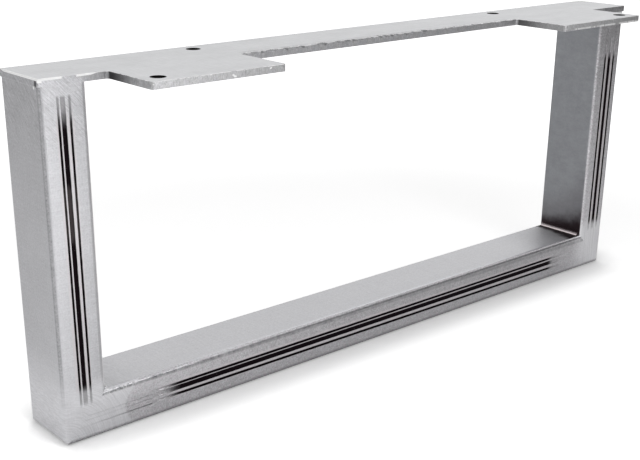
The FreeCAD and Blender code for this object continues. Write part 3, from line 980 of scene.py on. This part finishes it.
# %% [markdown]
# The plate's finish.
# The plate's two faces are sanded fine and even. Its cut edges are darker and rough, with the short upright
# ribs that a cutting jet leaves, and painted shade in the corners behind the ears and on the ears' sides. The
# sharp top edge shows as a bright broken line, partly burrs and partly a painted highlight, and the walls of
# the holes are near black, the black of the cut with painted shade inside. Over the uprights the edges were
# ground together with the tube, and there they take the tube's own finish. Each mask is a place on the plate
# in millimetres: how far a point is below the face, in front of the band or from a hole's middle.

# %% The plate's faces and edges
EAR_MIDDLE_MM = (EAR_OUTER + EAR_INNER) / 2 / MM
BRIGHT_EDGE_GAP = (-339, -329)
HEAVY_BRIGHT_EDGE_END = -309
RIGHT_EAR_BRIGHT_EDGE = (190, 301)
EAR_REACH_MM = 0 - EAR_FRONT_MM - DEPTH_MM


def cut_edge(recipe, spot):
    """The colour of the cut edges, with painted shade in the corners behind the ears and on the ears' sides,
    and the height of their ribs.
    """
    r = recipe
    ribs = r.noise(r.vector((spot.x + spot.y) / 0.9, 0, spot.z / 5), 3.0, 0.7)
    pits = spot.streaks(1.5, 1.5, 1.5, 3.0)
    colour = lighter_darker(r, (0.56, 0.56, 0.57), ribs * 0.75 + pits * 0.90 + spot.streaks(5, 5, 5) * 0.35)
    before_band = 0 - spot.y - DEPTH_MM
    on_ear = r.rise(before_band, 0.2, 2.5)
    colour = r.mix(1 - on_ear, colour, r.mix(1.0, colour, (0.80, 0.80, 0.81), "MULTIPLY"))
    # Painted shade in the corners behind the ears, and on the ears' sides.
    corner_shade = on_ear * (1 - r.rise(before_band, 3, 44)) * spot.by_side(0.90, 0.70)
    colour = r.mix(corner_shade, colour, (0.02, 0.018, 0.02))
    ear_side_shade = on_ear * r.fall(before_band, EAR_REACH_MM - 1.0, EAR_REACH_MM - 0.2)
    colour = r.mix(ear_side_shade * spot.by_side(0.26, 0.42), colour, (0.05, 0.05, 0.05))
    towards_right = spot.x + EAR_MIDDLE_MM * (spot.at_left * 2 - 1)
    colour = lighter_darker(r, colour, on_ear * (spot.by_side(0.05, -0.05) - towards_right * 0.0030))
    return colour, ribs + pits


def in_holes(recipe, spot):
    """1 on the walls of the four screw holes, which are painted near black: the black of the cut, with
    painted shade inside the holes.
    """
    r = recipe
    across, inner = (EAR_OUTER - HOLE_INSET) / MM, (EAR_INNER + HOLE_INSET) / MM
    front = spot.length(abs(spot.x) - across, spot.y - (EAR_FRONT + HOLE_INSET) / MM, 0)
    back = spot.length(abs(spot.x) - inner, spot.y - (HALF_DEPTH - HOLE_INSET) / MM, 0)
    return r.fall(r.least(front, back), HOLE_RADIUS / MM + 0.6, HOLE_RADIUS / MM + 0.9)


def near_rag(recipe, spot, depth):
    """1 on the ragged front edge between the ears, back to a depth in millimetres."""
    between_ears = recipe.fall(abs(spot.x), EAR_INNER_MM - 4, EAR_INNER_MM - 3)
    return between_ears * recipe.fall(spot.y, depth - DEPTH_MM, depth + 1 - DEPTH_MM)


def burrs_and_highlights(recipe, spot):
    """1 on the thin bright lines of the plate's edges, on nicks, and on the crumbs of the ragged edge: partly
    bright burrs, partly painted highlights.
    """
    r = recipe
    heavy = r.fall(spot.x, HEAVY_BRIGHT_EDGE_END - 8, HEAVY_BRIGHT_EDGE_END) * r.fall(spot.y, 22, 28)
    reach = 0.45 + heavy * 1.15
    to_rim = r.least(spot.from_end, spot.y + DEPTH_MM)
    below_face = r.most(r.fall(spot.z, TOP_MM - 0.06, TOP_MM - 0.01), heavy * r.fall(to_rim, 0.9, 1.2))
    # The bright line along the top edges: partly burrs, partly a painted highlight.
    on_edge = r.rise(spot.z + reach, TOP_MM, TOP_MM + 0.15) * below_face
    low, high = BRIGHT_EDGE_GAP
    edge_strip = r.between(spot.x, low - 2, low, high, high + 2)
    start, end = RIGHT_EAR_BRIGHT_EDGE
    under_ear = r.between(spot.x, start, start + 4, end - 8, end)
    under_ear = under_ear * r.fall(spot.z, PLATE_MM + 1.5, PLATE_MM + 1.9)
    under_ear = under_ear * r.fall(spot.y, EAR_FRONT_MM + 0.6, EAR_FRONT_MM + 1.0)
    broken = r.rise(spot.streaks(5, 5, 1000, 2.0) + heavy * 0.4, -0.10, 0.02)
    nicks = r.rise(spot.streaks(7, 7, 3, 1.0), 0.18, 0.22)
    nicks = nicks * r.fall(spot.y, EAR_FRONT_MM + 0.4, EAR_FRONT_MM + 0.9)
    # Bright crumbs on the ragged edge: partly burrs, partly painted glints.
    crumbs_and_glints = r.rise(spot.streaks(3, 3, 3, 2.0), 0.03, 0.09) * near_rag(r, spot, 5)
    crumbs_and_glints = crumbs_and_glints * r.rise(spot.z, TOP_MM - 0.5, TOP_MM - 0.3)
    return r.most(r.most(r.most(on_edge * (1 - edge_strip), under_ear) * broken, nicks), crumbs_and_glints * 0.8)


def plate_finish():
    """The material of the mounting plate."""
    material, r = new_recipe("sanded_plate_steel")
    spot = Spot(r)
    ground, _, marks = sanded(r, spot, round_edges=0.0)
    ground = marked(r, spot, ground)
    fine = r.noise(r.vector(spot.x / 1.2, spot.y / 24, spot.z / 1.2), 3.0, 0.6)
    cloud = spot.streaks(36, 18, 36, 3.0)
    specks = spot.streaks(4, 3, 4, 3.0)
    face = lighter_darker(r, (0.74, 0.745, 0.76), fine * 0.30 + cloud * 0.22 + specks * 0.16)

    below_top = r.fall(spot.z - near_rag(r, spot, 8) * 0.16, TOP_MM - 0.30, TOP_MM - 0.10)
    in_edge = below_top * r.rise(spot.z, PLATE_MM + 0.05, PLATE_MM + 0.25)
    over_tube = r.rise(abs(spot.x), END_MM - FACE_MM - 2, END_MM - FACE_MM + 6)
    edge, rough_height = cut_edge(r, spot)
    edge = r.mix(over_tube * spot.by_side(1.0, 0.4), edge, ground)
    edge = lighter_darker(r, edge, over_tube * spot.by_side(0, 1) * (spot.streaks(3, 3, 3) * 0.8 - 0.20))
    hole = in_holes(r, spot)
    burr_and_highlight = burrs_and_highlights(r, spot)

    # Near white where the edges carry burrs and painted highlights.
    colour = r.mix(burr_and_highlight, r.mix(in_edge, face, edge), NEAR_WHITE)
    # Near-black hole walls: the black of the cut, with painted shade inside the holes.
    colour = r.mix(hole, colour, (0.008, 0.007, 0.007))
    roughness = 0.36 + fine * 0.1 + in_edge * 0.16 + hole * 0.45
    height = marks * over_tube + fine * 0.4 + rough_height * in_edge * (1 - over_tube) * 5
    metallic = 1 - r.most(hole, burr_and_highlight * spot.at_left * 0.5)
    finish_metal(r, colour, roughness, height, 0.02 * MM, metallic)
    return material


# %% [markdown]
# The welds' finish.
# A bead that was left as it cooled is bright on the tops of its ripples and pink to brown between them. The
# two at the left cooled grey. Every finish is then given to its pieces, and each piece rides on the leg's one
# body and stands for its solid, which is hidden.

# %% The beads
def weld_finish():
    """The material of the four beads."""
    material, r = new_recipe("weld_bead_metal")
    spot = Spot(r)
    patchy = spot.streaks(2.5, 4, 2.5)
    hot = r.mix(0.5 + patchy, (0.68, 0.59, 0.61), (0.93, 0.86, 0.87))
    colour = r.mix(spot.at_left, hot, (0.60, 0.60, 0.61))
    finish_metal(r, colour, 0.30 + patchy * 0.15, patchy, 0.03 * MM)
    return material


# %% Giving the finishes and taking the solids' places
def dress(piece, material, node):
    """Gives a piece its finish and lets it stand for its solid."""
    piece.data.materials.clear()
    piece.data.materials.append(material)
    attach(piece, "root")
    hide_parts(node)


tube_steel = tube_finish()
dress(left_upright, tube_steel, "left_upright")
dress(right_upright, tube_steel, "right_upright")
dress(bottom_rail, tube_steel, "bottom_rail")
dress(mounting_plate, plate_finish(), "mounting_plate")
weld_metal = weld_finish()
for weld_node, bead in welds.items():
    dress(bead, weld_metal, weld_node)
for piece in (left_upright, mounting_plate, welds["left_corner_weld"]):
    finish = piece.data.materials[0]
    print(f"{finish.name}: {len(finish.node_tree.nodes)} nodes")

# %% [markdown]
# The camera.
# The picture's lens was long and its frame was cut out of a larger one, so the camera has the measured place
# and turn, the lens as a focal length in pixels, and a shift for the cut.

# %% The camera
CAMERA_PLACE = Vector((-744.7, -776.2, 449.7)) * MM
CAMERA_TURN = math.radians(-40.84)
CAMERA_TILT = math.radians(90 - 21.32)
CAMERA_ROLL = math.radians(0.40)
IMAGE_WIDTH = 640
IMAGE_MIDDLE = (320, 230)
FOCAL_PIXELS = 1130.1
LENS_AXIS = (308.7, 299.5)


def new_camera():
    """The camera at the photograph's place, aim and lens."""
    data = bpy.data.cameras.new("photo_camera")
    data.sensor_width = 36
    data.lens = FOCAL_PIXELS * data.sensor_width / IMAGE_WIDTH
    data.shift_x = (IMAGE_MIDDLE[0] - LENS_AXIS[0]) / IMAGE_WIDTH
    data.shift_y = (LENS_AXIS[1] - IMAGE_MIDDLE[1]) / IMAGE_WIDTH
    camera = bpy.data.objects.new("photo_camera", data)
    bpy.context.scene.collection.objects.link(camera)
    aim = Matrix.Rotation(CAMERA_TURN, 4, "Z") @ Matrix.Rotation(CAMERA_TILT, 4, "X")
    camera.matrix_world = Matrix.Translation(CAMERA_PLACE) @ aim @ Matrix.Rotation(CAMERA_ROLL, 4, "Z")
    bpy.context.scene.camera = camera
    return camera


camera = new_camera()
print(f"lens {camera.data.lens:.1f} mm, shift {camera.data.shift_x:.4f}, {camera.data.shift_y:.4f}")

# %% [markdown]
# The floor.
# A plain pale floor that the camera sees as white, and in part the metal too. What glows there would also
# hide the leg's shadow, so Ambient Occlusion, which tells how much of the sky a point of the floor sees,
# takes the glow away close to the leg. A far ring glows more, so that the floor meets the backdrop unseen.

# %% The floor
FLOOR_SIZE = 12
FLOOR_GLOW = 0.64
FAR_GLOW = 0.40
SHADOW_SHARE = 0.30
GLOW_IN_METAL = 0.28
SHADOW_REACH = 0.05


def new_floor():
    """A wide pale floor that the camera sees as white, apart from the soft shadow beside the leg."""
    clear_selection()
    bpy.ops.mesh.primitive_plane_add(size=FLOOR_SIZE, location=(0, 0, -0.0002))
    floor = bpy.context.object
    floor.name = "studio_floor"
    material, r = new_recipe("pale_floor")
    lit = r.add("ShaderNodeBsdfDiffuse", None, {"Color": (0.80, 0.80, 0.80, 1)})
    open_sky = r.add("ShaderNodeAmbientOcclusion", {"samples": 8}, {"Distance": SHADOW_REACH}, output=1)
    across, along, _ = r.place()
    away = r.sum("SQRT", across * across + along * along)
    open_sky = open_sky + r.rise(0 - across, 359, 366) * 0.16
    share = r.rise(open_sky, 0.59, 1.04) * (1 - SHADOW_SHARE) + SHADOW_SHARE
    strength = share * (r.rise(away, 500, 1200) * FAR_GLOW + FLOOR_GLOW)
    glow = r.add("ShaderNodeEmission", None, {"Color": (1, 1, 1, 1), "Strength": strength})
    shown = r.add("ShaderNodeAddShader", None, {0: lit, 1: glow})
    kinds = ("Camera", "Transmission", "Glossy")
    seen, through, mirrored = [r.add("ShaderNodeLightPath", output=f"Is {kind} Ray") for kind in kinds]
    share = r.least(seen + through + mirrored * GLOW_IN_METAL, 1.0)
    surface = r.add("ShaderNodeMixShader", None, {0: share, 1: lit, 2: shown})
    r.add("ShaderNodeOutputMaterial", None, {"Surface": surface})
    floor.data.materials.append(material)
    return floor


new_floor()


# %% [markdown]
# The lamps and the room.
# Metal shows its room, so nearly all the light on the leg is the world: a level for each direction, with a
# window at the left, a screen behind, which the flat tops mirror, and a card above at the back, for the round
# edges. Three small lamps only lift the floor, in front of the leg and beside it.

# %% The lamps
def new_lamp(name, place, aim, size, power):
    """A soft square lamp that looks at a point."""
    data = bpy.data.lights.new(name, "AREA")
    data.shape = "SQUARE"
    data.size, data.energy = size, power
    lamp = bpy.data.objects.new(name, data)
    bpy.context.scene.collection.objects.link(lamp)
    lamp.location = place
    lamp.rotation_euler = (Vector(aim) - Vector(place)).to_track_quat("-Z", "Y").to_euler()
    return lamp


new_lamp("front_floor_lamp", (0.0, -0.85, 0.5), (0.0, -0.75, 0), 0.4, 3.65)
new_lamp("left_floor_lamp", (-0.8, 0.25, 0.7), (-0.7, 0.2, 0), 0.4, 0.8)
new_lamp("corner_floor_lamp", (-0.45, -0.35, 0.6), (-0.35, -0.25, 0), 0.4, 1.15)

# %% The room
ROOM_BACK = 0.19
ROOM_FRONT = 0.15
ROOM_RIGHT = 0.11
ROOM_LEFT = 1.25
ROOM_SCREEN = 0.68
ROOM_ABOVE = 0.20
CARD_IN_METAL = 1.15


def light_room():
    """The world's light by direction: a window at the left, a screen behind and a card above it."""
    world = bpy.data.worlds.new("studio_room")
    bpy.context.scene.world = world
    world.use_nodes = True
    r = Recipe(world.node_tree)
    towards = r.add("ShaderNodeTexCoord", output="Generated")
    x, y, z = [r.add("ShaderNodeSeparateXYZ", None, {0: towards}, output=axis) for axis in range(3)]
    level = r.rise(x * 0.66 + y * 0.75, 0.25, 0.8) * ROOM_SCREEN
    glossy_ray = r.add("ShaderNodeLightPath", output="Is Glossy Ray")
    card = r.rise(z, 0.48, 0.62) * r.between(x, 0.40, 0.52, 0.86, 0.95) * r.fall(y, 0.36, 0.50)
    level = level + card * (glossy_ray * CARD_IN_METAL + ROOM_ABOVE)
    sides = [(y, ROOM_BACK), (0 - y, ROOM_FRONT), (x, ROOM_RIGHT), (0 - x, ROOM_LEFT)]
    for side, strength in sides:
        facing = r.most(side, 0.0)
        level = level + facing * facing * strength
    camera_ray = r.add("ShaderNodeLightPath", output="Is Camera Ray")
    level = level * (1 - camera_ray) + camera_ray
    light = r.add("ShaderNodeBackground", None, {"Color": (1, 1, 1, 1), "Strength": level})
    r.add("ShaderNodeOutputWorld", None, {"Surface": light})


light_room()

# %% [markdown]
# The end.
# Standard shows each colour as it is written.

# %% The colours' way to the screen
bpy.context.scene.view_settings.view_transform = "Standard"
